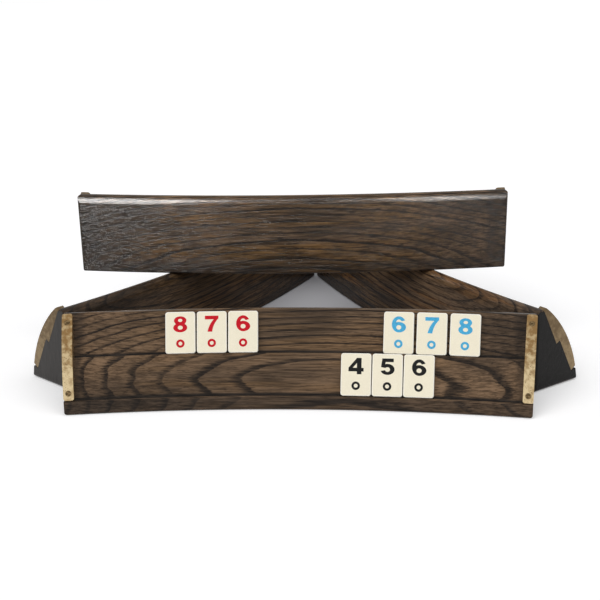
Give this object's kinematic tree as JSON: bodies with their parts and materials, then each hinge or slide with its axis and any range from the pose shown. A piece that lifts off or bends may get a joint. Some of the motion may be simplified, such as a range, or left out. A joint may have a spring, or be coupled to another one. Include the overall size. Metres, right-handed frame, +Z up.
{
  "type": "rummy tile rack set",
  "caption": "Bowed two-row wooden tile racks with brass end plates, set out in a triangle with one rack across the top, and numbered tiles standing on the front rack.",
  "frame": {"origin": "middle of the front rack's foot, on the table", "axes": "+X along the front rack to the player's right, +Y from the player past the front rack towards the back of the triangle, +Z up"},
  "size_m": [0.4786, 0.4147, 0.1469],
  "materials": {
    "stained_ash": "satin",
    "cast_brass": "worn satin",
    "screw_brass": "worn",
    "ivory_tile": "gloss"
  },
  "bodies": {
    "front_rack": {"front_rack_wood": "stained_ash", "front_rack_plate_left": "cast_brass", "front_rack_plate_right": "cast_brass", "front_rack_screws": "screw_brass"},
    "left_rack": {"left_rack_wood": "stained_ash", "left_rack_plate_left": "cast_brass", "left_rack_plate_right": "cast_brass", "left_rack_screws": "screw_brass"},
    "right_rack": {"right_rack_wood": "stained_ash", "right_rack_plate_left": "cast_brass", "right_rack_plate_right": "cast_brass", "right_rack_screws": "screw_brass"},
    "top_rack": {"top_rack_wood": "stained_ash", "top_rack_plate_left": "cast_brass", "top_rack_plate_right": "cast_brass", "top_rack_screws": "screw_brass"},
    "tile_red_8": {"tile_red_8": "ivory_tile"},
    "tile_red_7": {"tile_red_7": "ivory_tile"},
    "tile_red_6": {"tile_red_6": "ivory_tile"},
    "tile_blue_6": {"tile_blue_6": "ivory_tile"},
    "tile_blue_7": {"tile_blue_7": "ivory_tile"},
    "tile_blue_8": {"tile_blue_8": "ivory_tile"},
    "tile_black_4": {"tile_black_4": "ivory_tile"},
    "tile_black_5": {"tile_black_5": "ivory_tile"},
    "tile_black_6": {"tile_black_6": "ivory_tile"}
  },
  "joints": [
    {"name": "left_rack_slide", "type": "slide", "parent": "front_rack", "child": "left_rack", "axis": [-0.866, 0.5, 0], "range_m": [0, 0.1]},
    {"name": "right_rack_slide", "type": "slide", "parent": "front_rack", "child": "right_rack", "axis": [0.866, 0.5, 0], "range_m": [0, 0.1]},
    {"name": "top_rack_lift", "type": "slide", "parent": "front_rack", "child": "top_rack", "axis": [0, 0, 1], "range_m": [0, 0.12]},
    {"name": "tile_red_8_lift_off", "type": "slide", "parent": "front_rack", "child": "tile_red_8", "axis": [0.0511, -0.8815, 0.4695], "range_m": [0, 0.06]},
    {"name": "tile_red_7_lift_off", "type": "slide", "parent": "front_rack", "child": "tile_red_7", "axis": [0.0511, -0.8815, 0.4695], "range_m": [0, 0.06]},
    {"name": "tile_red_6_lift_off", "type": "slide", "parent": "front_rack", "child": "tile_red_6", "axis": [0.0511, -0.8815, 0.4695], "range_m": [0, 0.06]},
    {"name": "tile_blue_6_lift_off", "type": "slide", "parent": "front_rack", "child": "tile_blue_6", "axis": [-0.0789, -0.8794, 0.4695], "range_m": [0, 0.06]},
    {"name": "tile_blue_7_lift_off", "type": "slide", "parent": "front_rack", "child": "tile_blue_7", "axis": [-0.0789, -0.8794, 0.4695], "range_m": [0, 0.06]},
    {"name": "tile_blue_8_lift_off", "type": "slide", "parent": "front_rack", "child": "tile_blue_8", "axis": [-0.0789, -0.8794, 0.4695], "range_m": [0, 0.06]},
    {"name": "tile_black_4_lift_off", "type": "slide", "parent": "front_rack", "child": "tile_black_4", "axis": [-0.0537, -0.8813, 0.4695], "range_m": [0, 0.06]},
    {"name": "tile_black_5_lift_off", "type": "slide", "parent": "front_rack", "child": "tile_black_5", "axis": [-0.0537, -0.8813, 0.4695], "range_m": [0, 0.06]},
    {"name": "tile_black_6_lift_off", "type": "slide", "parent": "front_rack", "child": "tile_black_6", "axis": [-0.0537, -0.8813, 0.4695], "range_m": [0, 0.06]}
  ]
}
